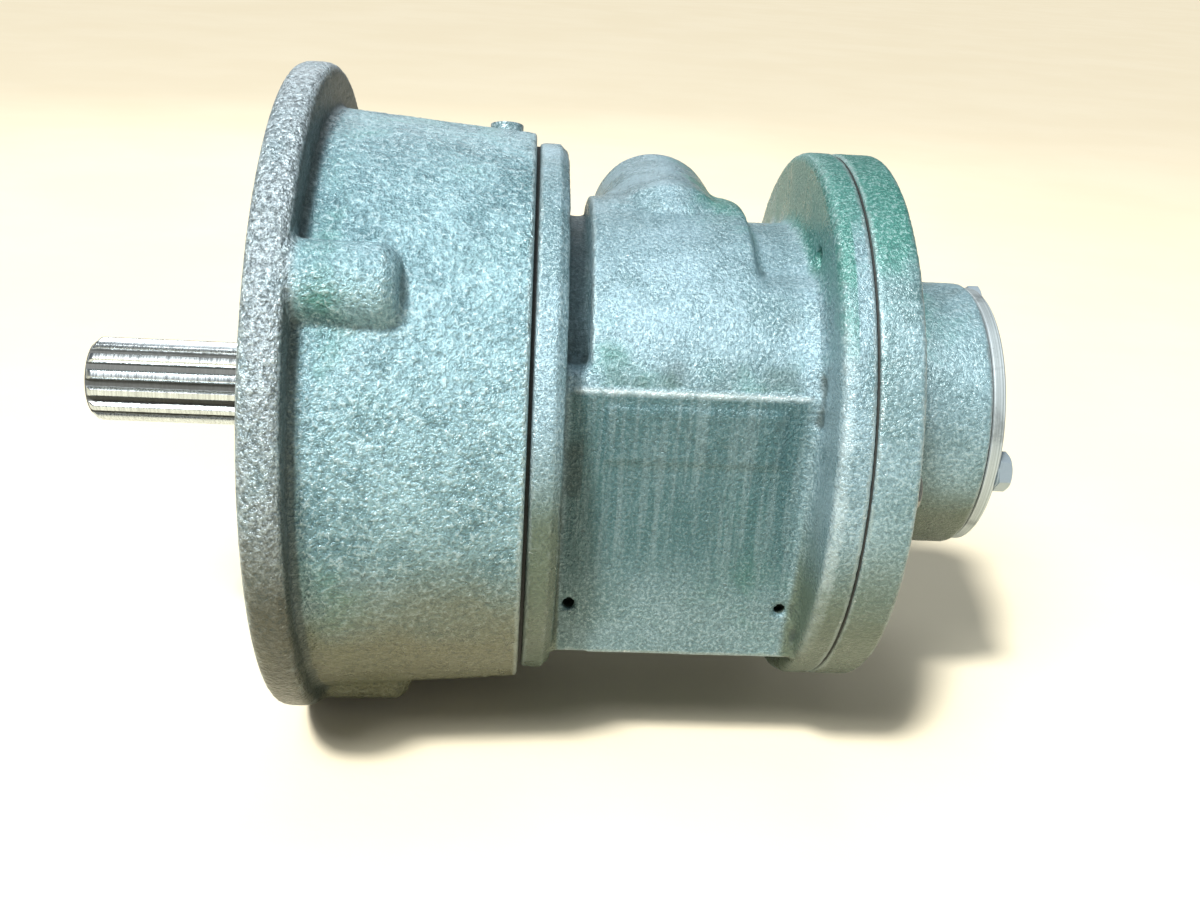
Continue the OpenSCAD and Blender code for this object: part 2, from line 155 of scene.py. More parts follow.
# ------------------------------------------------------------------ castings
def casting(node, name, voxel, rounds, grain, tint_and_light, low):
    """The CAD casting remeshed evenly, with its edges and corners rounded as cast, and grain on its as-cast skin.
    rounds(P) is how many smoothing steps a point gets, grain(P) the grain's height in mm, tint_and_light(P) the colour
    masks, among them painted shade and a painted highlight, low where the painted underside shade starts and ends."""
    src = NODES[node]
    ob = new_object(name, src.data.copy())
    ob.data.materials.clear()
    w = ob.modifiers.new("weld", "WELD")
    w.merge_threshold = 2e-6
    r = ob.modifiers.new("even", "REMESH")
    r.mode = "VOXEL"
    r.voxel_size = voxel / 1000
    r.adaptivity = 0
    dg = bpy.context.evaluated_depsgraph_get()
    me = bpy.data.meshes.new_from_object(ob.evaluated_get(dg))
    me.name = name
    ob.modifiers.clear()
    ob.data = me
    p = co_of(me)
    e = edges_of(me)
    deg = np.maximum(np.bincount(e.ravel(), minlength=len(p)), 1).astype(float)
    steps = rounds(p)
    for k in range(int(steps.max())):
        on = np.clip(steps - k, 0, 1)[:, None]
        p = p + on * 0.5 * (average(p, e, deg) - p)
    # curvature from how far a wider average moves each point along its normal
    set_co(me, p)
    n = normals_of(me)
    q = p
    for k in range(6):
        q = average(q, e, deg)
    c = ((p - q) * n).sum(1)
    for k in range(2):
        c = average(c[:, None], e, deg)[:, 0]
    edge = np.clip((c - 0.06) / 0.34, 0, 1)
    cav = np.clip((-c - 0.05) / 0.40, 0, 1)
    g = grain(p)
    amp = g[0]
    lump = perlin(p / 9.0, 3) * 0.10 + perlin(p / 24.0, 4) * 0.12
    peel = perlin(p / 2.3 + 7, 5)
    peel2 = perlin(p / 1.35 + 3, 6)
    h = amp * (0.9 * peel + 0.6 * peel2) + g[1] * lump
    set_co(me, p + n * h[:, None])
    t = tint_and_light(p)
    attribute(me, "green", np.clip(t[0], 0, 1))
    attribute(me, "planed_side_and_shade", np.clip(t[1], 0, 1))
    attribute(me, "bare", np.clip(t[2], 0, 1))
    attribute(me, "edge", edge)
    # the concave-corner mask also carries the painted shade from the colour masks
    attribute(me, "cav", np.maximum(cav, np.clip(t[3], 0, 1)))
    attribute(me, "ridge", np.clip(t[4], 0, 1))
    r = np.maximum(np.hypot(p[:, 1], p[:, 2]), 1)
    rim = p[:, 0] < (13.5 if node == "bell_housing" else 98)     # the painted underside shade reaches higher on the flange rims
    lo, hi = np.where(rim, low[0] - 0.22, low[0]), np.where(rim, low[1] - 0.30, low[1])
    # painted shade: darker towards the underside, lighter on the planed sides
    under = smoothstep(lo, hi, -p[:, 2] / r + 0.10 * perlin(p / 30, 9)) * smoothstep(30, 50, r) * (1 - 0.75 * np.clip(t[1], 0, 1))
    under = under * (1 - 0.6 * smoothstep(1.2, 0.4, p[:, 0]))     # less painted underside shade on the mounting face
    attribute(me, "under", under)
    me.shade_smooth()
    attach(ob, src["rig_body"])
    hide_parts(node)
    return ob


def rad(p, drop=0.0):
    return np.hypot(p[:, 1], p[:, 2] + drop)


def blob(p, c, s):
    d = (p - np.array(c, float)) / np.array(s, float)
    return np.exp(-(d * d).sum(1))


def bell_rounds(p):
    x, r, rd = p[:, 0], rad(p), rad(p, BELL_DROP)
    s = np.full(len(p), 7.0)
    s = np.where((x < 0.8) | ((r < 50) & (x < 50)), 1.0, s)
    s = np.where((x > 81.5) & (rd > 80), 1.0, s)
    s = np.where((rd < 94) & (x > 12), 4.0, s)
    for a in BOSSES:
        y0, z0 = -BOSS_PCR * math.cos(math.radians(a)), -BOSS_PCR * math.sin(math.radians(a))
        near = np.hypot(p[:, 1] - y0, p[:, 2] - z0) < 17
        s = np.where(near & (x > 15) & (x < 53) & (rd > 97), 10.0, s)
        s = np.where((np.hypot(p[:, 1] - y0, p[:, 2] - z0) < 8) & (x < 34) & (rd < 118), 1.0, s)
    u = np.array([0, math.sin(math.radians(22.4)), math.cos(math.radians(22.4))])
    d = p - np.array([74, 0, 0])
    ax = d @ u
    off = np.linalg.norm(d - ax[:, None] * u, axis=1)
    return np.where((off < 10) & (ax > 80), 1.0, s)


def bell_grain(p):
    x, r, rd = p[:, 0], rad(p), rad(p, BELL_DROP)
    a = np.where(rd > 97, 0.25, 0.10)
    a = np.where(x < 15, 0.17, a)
    a = a * smoothstep(85.6, 82.7, x)
    a = np.where((x < 0.9) | ((r < 50) & (x < 50)), 0.0, a)
    u = np.array([0, math.sin(math.radians(22.4)), math.cos(math.radians(22.4))])
    d = p - np.array([74, 0, 0])
    ax = d @ u
    off = np.linalg.norm(d - ax[:, None] * u, axis=1)
    a = np.where((off < 9) & (ax > 80), 0.0, a)
    return a, np.where(a > 0, 1.0, 0.0) * smoothstep(85.6, 80, x)


def bell_tint_and_shade(p):
    x, r = p[:, 0], rad(p)
    green = 0.55 * blob(p, (22, -84, 62), (9, 60, 40)) + 0.5 * blob(p, (24, -98, -45), (14, 60, 45)) + 0.5 * blob(p, (50, 30, 105), (40, 70, 30))
    bare = smoothstep(16.5, 12.5, x) * smoothstep(90, 100, r)
    bare = np.maximum(bare, ((x < 0.9) | ((r < 50) & (x < 50))) * 1.0)
    # painted shade in the corner behind the flange, kept off the bosses
    dark = smoothstep(11.5, 13.0, x) * smoothstep(17.5, 15.0, x) * smoothstep(102, 106, r) * smoothstep(119, 116.5, r)
    for a in BOSSES:
        y0, z0 = -BOSS_PCR * math.cos(math.radians(a)), -BOSS_PCR * math.sin(math.radians(a))
        dark = dark * smoothstep(13.5, 17.5, np.hypot(p[:, 1] - y0, p[:, 2] - z0))
    return green, np.zeros(len(p)), bare, dark * 0.85, np.zeros(len(p))


bell = casting("bell_housing", "bell_casting", 1.05, bell_rounds, bell_grain, bell_tint_and_shade, (-0.08, 0.74))


def case_rounds(p):
    x, y, z, r = p[:, 0], p[:, 1], p[:, 2], rad(p)
    s = np.full(len(p), 1.5)
    s = np.where((x > 97.5) & (x < 110), 8.0, s)                      # neck shoulders
    s = np.where((x > 158) & (x < 183.5) & (r < 96), 14.0, s)          # valley
    s = np.where((x > 173) & (x < 187) & (r < 94) & (z > -60), 64.0, s)   # fillet into the rear flange
    s = np.where((z > 56) & (x > 106) & (x < 168) & (y < 62), 6.0, s)  # pad and worm tube
    s = np.where((x > 154) & (x < 166) & (z > 52) & (r > 66), 26.0, s)  # rounded end of the barrel
    tube = np.hypot(x - 135, z - 60)
    s = np.where((tube < 30) & (y > 58), 3.0, s)
    s = np.where((np.abs(np.abs(y) - 72) < 3) & (z > 20) & (z < 36) & (x > 100), 5.0, s)
    s = np.where((r < 66) & (x > 97) & (x < 184), 1.0, s)
    s = np.where((x > 195) | (x < 88), 1.0, s)
    s = np.where((np.abs(np.abs(y) - 72) < 2.2) & (z > 1) & (z < 26) & (x > 110) & (x < 173), 2.0, s)
    hole = np.minimum(np.hypot(x - 102.8, z + 51.3), np.hypot(x - 178.2, z + 51.3))
    s = np.where((np.hypot(y + 36.3, z - 68.3) < 5.6) & (x > 180), 1.0, s)
    return np.where((hole < 4.5) & (np.abs(y) > 62), 1.0, s)


def case_grain(p):
    x, y, z, r = p[:, 0], p[:, 1], p[:, 2], rad(p)
    a = np.full(len(p), 0.12)
    a = np.where((np.abs(y) > 70.5) & (z < 30), 0.06, a)
    a = np.where((x < 98) & (r > 92), 0.07, a)
    a = np.where((x > 186) & (r > 90), 0.10, a)
    tube = np.hypot(x - 135, z - 60)
    a = np.where((tube < 27) & (z > 60), 0.07, a)
    a = np.where((r < 66) | ((tube < 23) & (y > 30)), 0.0, a)
    a = a * smoothstep(86.9, 88.4, x) * smoothstep(196, 194.2, x)
    return a, np.where(a > 0, 1.0, 0.0) * smoothstep(86.9, 91, x) * smoothstep(196, 191, x) * 0.8


def case_tint_and_light(p):
    x, y, z, r = p[:, 0], p[:, 1], p[:, 2], rad(p)
    green = (1.2 * blob(p, (190, -5, 92), (12, 55, 32)) + 1.0 * blob(p, (156, 20, 80), (14, 45, 20)) + 0.5 * blob(p, (165, -66, -30), (24, 30, 50))
             + 0.5 * blob(p, (108, -70, 10), (12, 30, 60)) + 0.6 * blob(p, (140, 74, 10), (60, 20, 70)))
    # planed sides, with painted shade that deepens towards their top
    planed_side_and_shade = ((np.abs(y) > 70) & (np.abs(y) < 74)) * smoothstep(29, 27.5, z) * smoothstep(98, 101, x) * smoothstep(184, 176, x) * (0.36 + 0.64 * smoothstep(-60, -24, z))
    bare = ((r < 66) & (x > 98)) * 1.0
    # painted shade in the neck groove and in a band above each ridge; a painted highlight along the ridge over each
    # flat and along the near rim of the rear flange
    dark = 0.7 * smoothstep(97.4, 98.4, x) * smoothstep(106.5, 104.5, x) * smoothstep(74.5, 72, r) * smoothstep(62, 66, r)
    dark = np.maximum(dark, 0.5 * np.exp(-((x - 98.2) / 2.2) ** 2) * (x > 97.2) * (r > 66) * (r < 92))
    wave = 0.6 + 0.4 * perlin(p / 12.0, 12)
    ridge = np.exp(-((z - 28.6) / 0.75) ** 2) * (np.abs(y) > 68) * smoothstep(99, 104, x) * smoothstep(183, 176, x) * (0.25 + wave)
    dark = np.maximum(dark, 0.86 * wave * smoothstep(52, 33, z) * smoothstep(29, 31, z) * (np.abs(y) > 55) * smoothstep(104, 112, x) * smoothstep(186, 172, x))
    green = green + 0.45 * smoothstep(180, 186, x) * smoothstep(20, 60, z) * (x < 190)
    green = green + 0.35 * smoothstep(50, 34, z) * smoothstep(29, 31, z) * (np.abs(y) > 55) * smoothstep(104, 115, x) * smoothstep(186, 170, x)
    rd = rad(p, COVER_DROP)
    ridge = np.maximum(ridge, 0.6 * wave * np.exp(-((rd - 99.2) / 1.6) ** 2) * (x < 188.5) * (x > 184) * (y < 0) * smoothstep(-75, -20, z) * smoothstep(75, 20, z))
    return green, planed_side_and_shade, bare, dark, ridge


case = casting("gear_case", "case_casting", 1.05, case_rounds, case_grain, case_tint_and_light, (-0.16, 0.62))


def cover_rounds(p):
    x, r = p[:, 0], rad(p)
    s = np.full(len(p), 2.0)
    s = np.where((r < 62) & (x > 209) & (x < 222), 9.0, s)
    s = np.where((x < 197.4) | (x > 250.5) | (r < 37), 1.0, s)
    return s


def cover_grain(p):
    x, r = p[:, 0], rad(p)
    a = np.where(r > 45, 0.10, 0.0) * smoothstep(196.6, 198.4, x) * smoothstep(252, 249.5, x)
    a = np.where((x < 203.5) & (r < 66), 0.0, a)
    return a, np.where(a > 0, 1.0, 0.0) * smoothstep(196.6, 201, x) * smoothstep(252, 246, x) * 0.8


def cover_tint(p):
    x, r = p[:, 0], rad(p)
    green = 1.3 * blob(p, (205, -15, 90), (16, 60, 36)) + 0.5 * blob(p, (225, -20, 46), (22, 30, 22)) + 0.5 * blob(p, (206, 60, -60), (20, 50, 50))
    flat = np.zeros(len(p))
    return green, flat, ((r < 45) | (x > 251.4)) * 1.0, flat, flat


cover = casting("end_cover", "cover_casting", 0.95, cover_rounds, cover_grain, cover_tint, (-0.10, 0.62))


# ------------------------------------------------------------------ splined output shaft
def shaft_section(x):
    """Outer radius of the plain parts of the shaft at x, and 13.1 anywhere else."""
    steps = ((-8, -6, 13.1), (-6, 33, 17.5), (33, 119, 21), (119, 125, 24), (125, 157, 20), (157, 239, 17.5), (239, 240.9, 16.6), (240.9, 246, 17.5))
    for a, b, r in steps:
        if a <= x <= b:
            return r
    return 13.1


def make_shaft():
    teeth, per = 14, 20
    n = teeth * per
    th = np.arange(n) * 2 * math.pi / n
    pitch = 360 / teeth
    off = np.abs((np.degrees(th) + pitch / 2) % pitch - pitch / 2)
    flank = np.clip((9.4 - off) / 5.0, 0, 1)
    flank = np.where(flank < 0.16, flank * flank / 0.32, np.where(flank > 0.86, 1 - 0.07 - (1 - flank) ** 2 / 0.28 + 0.07, flank - 0.0))
    spline = 13.5 + 2.3 * np.clip(flank, 0, 1)
    rings = []

    def ring(x, r):
        rings.append((x, r))

    flat = np.full(n, 1.0)
    ring(-78.0, flat * 4.0)
    for x, cap in ((-78.0, 13.3), (-77.85, 13.62), (-77.2, 14.2), (-76.4, 14.95), (-75.7, 15.55), (-75.3, 15.8), (-75.0, 16)):
        ring(x, np.minimum(spline, cap))
    for x in np.linspace(-72, -14, 30):
        ring(x, spline)
    for x, k in ((-12.5, 0.0), (-11.2, 0.1), (-10.2, 0.3), (-9.4, 0.55), (-8.8, 0.8), (-8.3, 1.0)):
        ring(x, spline * (1 - k) + np.minimum(spline, 13.15) * k)
    plain = ((-8.0, 13.1), (-6.0, 13.1), (-6.0, 16.7), (-5.85, 16.95), (-5.35, 17.45), (-5.2, 17.5), (2.0, 17.5), (32.85, 17.5), (33.0, 17.6), (33.0, 20.7),
             (33.15, 20.95), (33.4, 21.0), (118.8, 21.0), (119.0, 21.2), (119.0, 23.7), (119.3, 24.0), (124.7, 24.0), (125.0, 23.7), (125.0, 20.1),
             (125.1, 20.0), (156.8, 20.0), (157.0, 19.8), (157.0, 17.6), (157.1, 17.5), (238.9, 17.5), (239.0, 17.4), (239.0, 16.6), (240.9, 16.6),
             (240.9, 17.4), (241.0, 17.5), (244.9, 17.5), (245.4, 17.15), (245.95, 16.6), (246.0, 16.45), (246.0, 8.0), (246.0, 3.2), (243.0, 0.4))
    y, z = np.cos(th), np.sin(th)
    key = (np.abs(y * 20) < 6) & (z > 0)
    for i, (x, r) in enumerate(plain):
        rr = flat * r
        if 125.05 < x < 156.9:
            ring(x if x > 126 else 127.9, rr)
            if x < 126:
                ring(128.0, np.where(key, np.minimum(rr, 15.0 / np.maximum(z, 0.3)), rr))
                for xx in np.linspace(132, 150, 6):
                    ring(xx, np.where(key, np.minimum(rr, 15.0 / np.maximum(z, 0.3)), rr))
                ring(153.9, np.where(key, np.minimum(rr, 15.0 / np.maximum(z, 0.3)), rr))
                ring(154.0, rr)
            continue
        ring(x, rr)
    verts, faces = [], []
    for x, r in rings:
        verts += [(x, r[k] * y[k], r[k] * z[k]) for k in range(n)]
    # centre drilling in the splined end
    first = len(verts)
    for x, r in ((-77.6, 3.5), (-73.2, 0.75), (-72.4, 0.7)):
        verts += [(x, r * y[k], r * z[k]) for k in range(n)]
    a = len(verts)
    verts.append((-72.2, 0, 0))
    b = len(verts)
    verts.append((242.8, 0, 0))
    m = len(rings)
    for i in range(m - 1):
        for k in range(n):
            j = (k + 1) % n
            faces.append((i * n + k, i * n + j, (i + 1) * n + j, (i + 1) * n + k))
    chain = [0, first // n, first // n + 1, first // n + 2]
    for i in range(3):
        for k in range(n):
            j = (k + 1) % n
            faces.append((chain[i] * n + j, chain[i] * n + k, chain[i + 1] * n + k, chain[i + 1] * n + j))
    for k in range(n):
        j = (k + 1) % n
        faces.append(((first // n + 2) * n + j, (first // n + 2) * n + k, a))
        faces.append(((m - 1) * n + k, (m - 1) * n + j, b))
    me = mesh_from("splined_shaft", verts, faces)
    smooth_by_angle(me, 40)
    p = co_of(me)
    r = np.hypot(p[:, 1], p[:, 2])
    on = (p[:, 0] < -9) * 1.0
    attribute(me, "edge", on * np.clip((r - 15.2) / 0.5, 0, 1))
    attribute(me, "cav", on * np.clip((14.9 - r) / 1.2, 0, 1))
    ob = new_object("splined_shaft", me)
    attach(ob, "output")
    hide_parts("output_shaft")
    return ob


shaft = make_shaft()


# ------------------------------------------------------------------ hexagon-head screws
def hex_screw(verts, faces, cx, cy, cz, af, height, shank_r, shank_x0, turn, dish=0.35):
    """A hexagon head that stands on x = cx, with a washer face, curved chamfers and a turned top, and its shank back to shank_x0."""
    n = 72
    base = len(verts)
    rows = []
    rc = af / 2 * 0.94
    rw = af / 2 * 0.97
    for k in range(n):
        t = 2 * math.pi * k / n
        d = (math.degrees(t) % 60) - 30
        rh = af / 2 / math.cos(math.radians(d))
        rh = min(rh, af / 2 / math.cos(math.radians(29.0)))
        top = height - max(0, rh - rc) * math.tan(math.radians(26))
        low = 0.45 + max(0, rh - rw) * math.tan(math.radians(12))
        col = [(0.0, shank_r), (0.0, rw - 0.25), (0.05, rw), (0.42, rw), (low, rh - 0.12), (low + 0.1, rh), (top - 0.12, rh), (top, rh - 0.1),
               (height - 0.05, rc), (height, rc - 0.12), (height, rc - 0.9), (height - dish, rc - 1.6), (height - dish, 0.9)]
        rows.append([(cx + h, r * math.cos(t + turn) + cy, r * math.sin(t + turn) + cz) for h, r in col])
    m = len(rows[0])
    for row in rows:
        verts += row
    for k in range(n):
        j = (k + 1) % n
        for i in range(m - 1):
            faces.append((base + k * m + i, base + j * m + i, base + j * m + i + 1, base + k * m + i + 1))
    c = len(verts)
    verts.append((cx + height - dish, cy, cz))
    for k in range(n):
        j = (k + 1) % n
        faces.append((base + k * m + m - 1, base + j * m + m - 1, c))
    # shank, with thread ridges along most of its length
    s = len(verts)
    prof = [(cx, shank_r)]
    x, k = cx - 1.5, 0
    while x > shank_x0 + 1.2:
        prof.append((x, shank_r if k % 2 == 0 else shank_r - 0.45))
        x -= 0.62
        k += 1
    prof += [(shank_x0 + 0.8, shank_r - 0.3), (shank_x0, shank_r - 1.0), (shank_x0, 0.6)]
    q = 36
    for xx, rr in prof:
        verts += [(xx, cy + rr * math.cos(2 * math.pi * k / q), cz + rr * math.sin(2 * math.pi * k / q)) for k in range(q)]
    for i in range(len(prof) - 1):
        for k in range(q):
            j = (k + 1) % q
            faces.append((s + i * q + j, s + i * q + k, s + (i + 1) * q + k, s + (i + 1) * q + j))
    e = len(verts)
    verts.append((shank_x0, cy, cz))
    for k in range(q):
        faces.append((s + (len(prof) - 1) * q + (k + 1) % q, s + (len(prof) - 1) * q + k, e))


def screws(name, node, spots, cx, af, height, shank_r, shank_x0, seed):
    g = np.random.RandomState(seed)
    verts, faces = [], []
    for cy, cz in spots:
        hex_screw(verts, faces, cx, cy, cz, af, height, shank_r, shank_x0, g.uniform(0, math.pi / 3))
    me = mesh_from(name, verts, faces)
    smooth_by_angle(me, 22)
    ob = new_object(name, me)
    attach(ob, "housing")
    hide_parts(node)
    return ob


def spots(angles, pcr, drop=0.0):
    return [(-pcr * math.cos(math.radians(a)), -pcr * math.sin(math.radians(a)) - drop) for a in angles]


cap_bolts = screws("cap_hex_screws", "cap_screws", spots((8.5, 128.5, 248.5), 43.5), 257.2, 13, 5.5, 3.9, 237.0, 11)
cover_bolts = screws("cover_hex_screws", "cover_screws", spots([a - 3 for a in range(0, 360, 60)], 80, COVER_DROP), 212.0, 13, 5.5, 3.9, 188.5, 12)


# ------------------------------------------------------------------ materials
class Nodes:
    """A short way to write a node tree."""

    def __init__(self, name):
        self.m = bpy.data.materials.new(name)
        self.m.use_nodes = True
        self.t = self.m.node_tree
        self.t.nodes.clear()
        self.out = self.t.nodes.new("ShaderNodeOutputMaterial")
        self.b = self.t.nodes.new("ShaderNodeBsdfPrincipled")
        self.t.links.new(self.b.outputs[0], self.out.inputs[0])
        self.co = self.t.nodes.new("ShaderNodeTexCoord").outputs["Object"]

    def link(self, a, b):
        self.t.links.new(a, b)

    def put(self, socket, value):
        if isinstance(value, bpy.types.NodeSocket):
            self.link(value, socket)
        elif isinstance(value, (tuple, list)) and len(value) == 3 and socket.type == "RGBA":
            socket.default_value = (*value, 1)
        else:
            socket.default_value = value

    def noise(self, scale, detail=4.0, rough=0.55, vec=None, distort=0.0):
        n = self.t.nodes.new("ShaderNodeTexNoise")
        self.link(vec or self.co, n.inputs["Vector"])
        n.inputs["Scale"].default_value = scale
        n.inputs["Detail"].default_value = detail
        n.inputs["Roughness"].default_value = rough
        n.inputs["Distortion"].default_value = distort
        return n.outputs["Fac"]

    def cells(self, scale, vec=None):
        n = self.t.nodes.new("ShaderNodeTexVoronoi")
        self.link(vec or self.co, n.inputs["Vector"])
        n.inputs["Scale"].default_value = scale
        return n.outputs["Distance"]

    def stretch(self, sx, sy, sz, vec=None):
        n = self.t.nodes.new("ShaderNodeMapping")
        self.link(vec or self.co, n.inputs["Vector"])
        n.inputs["Scale"].default_value = (sx, sy, sz)
        return n.outputs[0]

    def turned(self, axis, centre):
        """(distance along the axis, distance from it, 0), for turning marks."""
        s = self.t.nodes.new("ShaderNodeVectorMath")
        s.operation = "SUBTRACT"
        self.link(self.co, s.inputs[0])
        s.inputs[1].default_value = centre
        d = self.t.nodes.new("ShaderNodeVectorMath")
        d.operation = "MULTIPLY"
        self.link(s.outputs[0], d.inputs[0])
        d.inputs[1].default_value = tuple(0.0 if i == axis else 1.0 for i in range(3))
        le = self.t.nodes.new("ShaderNodeVectorMath")
        le.operation = "LENGTH"
        self.link(d.outputs[0], le.inputs[0])
        sep = self.t.nodes.new("ShaderNodeSeparateXYZ")
        self.link(s.outputs[0], sep.inputs[0])
        c = self.t.nodes.new("ShaderNodeCombineXYZ")
        self.link(sep.outputs[axis], c.inputs[0])
        self.link(le.outputs["Value"], c.inputs[1])
        return c.outputs[0]

    def attr(self, name):
        n = self.t.nodes.new("ShaderNodeAttribute")
        n.attribute_name = name
        return n.outputs["Fac"]

    def math(self, op, a, b=0.5, clamp=False):
        n = self.t.nodes.new("ShaderNodeMath")
        n.operation = op
        n.use_clamp = clamp
        self.put(n.inputs[0], a)
        self.put(n.inputs[1], b)
        return n.outputs[0]

    def ramp(self, v, lo, hi, a=0.0, b=1.0):
        n = self.t.nodes.new("ShaderNodeMapRange")
        n.interpolation_type = "SMOOTHSTEP"
        self.put(n.inputs["Value"], v)
        n.inputs["From Min"].default_value = lo
        n.inputs["From Max"].default_value = hi
        n.inputs["To Min"].default_value = a
        n.inputs["To Max"].default_value = b
        return n.outputs[0]

    def mix(self, fac, a, b, mode="MIX"):
        n = self.t.nodes.new("ShaderNodeMix")
        n.data_type = "RGBA"
        n.blend_type = mode
        n.clamp_factor = True
        self.put(n.inputs[0], fac)
        self.put(n.inputs[6], a)
        self.put(n.inputs[7], b)
        return n.outputs[2]

    def mixf(self, fac, a, b):
        n = self.t.nodes.new("ShaderNodeMix")
        n.data_type = "FLOAT"
        n.clamp_factor = True
        self.put(n.inputs[0], fac)
        self.put(n.inputs[2], a)
        self.put(n.inputs[3], b)
        return n.outputs[0]

    def bump(self, height, strength, distance, normal=None):
        n = self.t.nodes.new("ShaderNodeBump")
        n.inputs["Strength"].default_value = strength
        n.inputs["Distance"].default_value = distance
        self.link(height, n.inputs["Height"])
        if normal is not None:
            self.link(normal, n.inputs["Normal"])
        return n.outputs[0]

    def done(self, **sockets):
        names = {"color": "Base Color", "rough": "Roughness", "metal": "Metallic", "normal": "Normal", "spec": "Specular IOR Level"}
        for k, v in sockets.items():
            self.put(self.b.inputs[names.get(k, k)], v)
        return self.m


def paint(name, peel, peel_mm, hollow_shade, pale, deep, fine=1.0, glint=0.45, bottom_shade_tone=(0.112, 0.109, 0.052)):
    """Worn grey-green paint over cast iron. peel is the grain's frequency per metre and peel_mm its bump height."""
    g = Nodes(name)
    big = g.noise(13, 5, 0.6)
    mid = g.noise(62, 6, 0.62, distort=0.3)
    small = g.noise(760, 4, 0.62)
    tone = g.math("ADD", g.math("MULTIPLY", big, 0.5), g.math("MULTIPLY", mid, 0.5))
    col = g.mix(g.ramp(tone, 0.34, 0.66), deep, pale)
    # greener, fresher paint where it has worn least
    green = g.ramp(g.math("ADD", g.attr("green"), g.math("MULTIPLY", g.math("SUBTRACT", mid, 0.5), 1.3)), 0.22, 0.80)
    col = g.mix(g.math("MULTIPLY", green, 0.85), col, (0.025, 0.165, 0.13))
    faint = g.ramp(g.noise(21, 5, 0.6, distort=0.6), 0.55, 0.78)
    col = g.mix(g.math("MULTIPLY", faint, 0.30), col, (0.07, 0.19, 0.17))
    # the planed sides are darker, with painted shade deepening towards their top under the ridge; streaks run down them
    flat = g.attr("planed_side_and_shade")
    col = g.mix(g.math("MULTIPLY", flat, 0.84), col, (0.028, 0.094, 0.104))
    st = g.noise(1.0, 4, 0.6, vec=g.stretch(420, 60, 22))
    col = g.mix(g.math("MULTIPLY", g.math("MULTIPLY", g.ramp(st, 0.44, 0.66), flat), 0.45), col, (0.17, 0.25, 0.27))
    # painted shade in a brown-green grime tone, darker towards the underside
    under = g.ramp(g.math("ADD", g.attr("under"), g.math("MULTIPLY", g.math("SUBTRACT", mid, 0.5), 0.5)), 0.05, 0.95)
    under = g.math("MULTIPLY", under, g.math("SUBTRACT", 1.0, g.math("MULTIPLY", g.ramp(flat, 0.05, 0.30), 0.72)))
    col = g.mix(g.math("MULTIPLY", under, 0.94), col, bottom_shade_tone)
    # bare, darker metal where nothing was painted
    bare = g.math("MULTIPLY", g.attr("bare"), g.ramp(mid, 0.25, 0.55, 0.55, 1.0))
    metal_col = g.mix(g.ramp(small, 0.35, 0.65), (0.11, 0.135, 0.145), (0.34, 0.41, 0.45))
    # bare metal takes the painted underside shade as well
    col = g.mix(bare, col, g.mix(g.math("MULTIPLY", under, 0.94), metal_col, (0.055, 0.055, 0.033)))
    # darker in concave corners and in dirt patches; this also carries the painted shade from the colour masks
    dirt_and_shade = g.ramp(g.math("ADD", g.math("MULTIPLY", g.attr("cav"), 0.9), g.math("MULTIPLY", g.math("SUBTRACT", mid, 0.5), 0.8)), 0.22, 0.80)
    col = g.mix(g.math("MULTIPLY", dirt_and_shade, 0.74), col, (0.022, 0.036, 0.030))
    patch = g.ramp(g.noise(34, 6, 0.7, distort=0.8), 0.56, 0.76)
    col = g.mix(g.math("MULTIPLY", patch, 0.40), col, (0.07, 0.095, 0.085))
    # the grain: painted shade in its hollows and painted highlight specks on its crests
    crest = g.noise(peel, 3, 0.55)
    grit = g.noise(peel * 2.3, 2, 0.5)
    fleck = g.math("ADD", g.math("MULTIPLY", crest, 0.6), g.math("MULTIPLY", grit, 0.4))
    dull = g.math("MAXIMUM", g.math("MAXIMUM", under, dirt_and_shade), g.math("MULTIPLY", flat, 0.8))
    glint = g.math("MULTIPLY", g.math("SUBTRACT", 1.0, g.math("MULTIPLY", dull, 0.8)), glint)
    col = g.mix(g.math("MULTIPLY", g.ramp(fleck, 0.50, 0.39), hollow_shade), col, (0.030, 0.056, 0.064))
    col = g.mix(g.math("MULTIPLY", g.ramp(fleck, 0.50, 0.61), glint), col, (0.62, 0.75, 0.79))
    # worn edges
    edge = g.attr("edge")
    wear = g.ramp(g.math("ADD", edge, g.math("MULTIPLY", g.math("SUBTRACT", g.noise(170, 5, 0.65), 0.5), 1.3)), 0.50, 1.0)
    col = g.mix(g.math("MULTIPLY", wear, 0.35), col, (0.40, 0.48, 0.49))
    # painted highlight along the ridges and along the rear flange's near rim
    ridge = g.math("MULTIPLY", g.attr("ridge"), g.ramp(g.noise(240, 4, 0.6), 0.30, 0.55, 0.35, 0.95))
    col = g.mix(ridge, col, (0.56, 0.66, 0.69))
    chips = g.math("MULTIPLY", g.ramp(g.noise(520, 3, 0.6), 0.66, 0.71), g.ramp(edge, 0.25, 0.8))
    col = g.mix(g.math("MULTIPLY", chips, 0.6), col, (0.62, 0.68, 0.68))
    shine = g.math("MAXIMUM", g.math("MULTIPLY", wear, 0.6), g.math("MULTIPLY", bare, 0.35))
    rough = g.mixf(dirt_and_shade, g.ramp(mid, 0.3, 0.7, 0.22, 0.35), 0.52)
    rough = g.mixf(shine, rough, 0.40)
    h = g.math("ADD", crest, g.math("MULTIPLY", grit, 0.5 * fine))
    n = g.bump(h, 1.0, peel_mm / 1000)
    return g.done(color=col, rough=rough, metal=g.mixf(shine, 0.25, 0.8), normal=n)


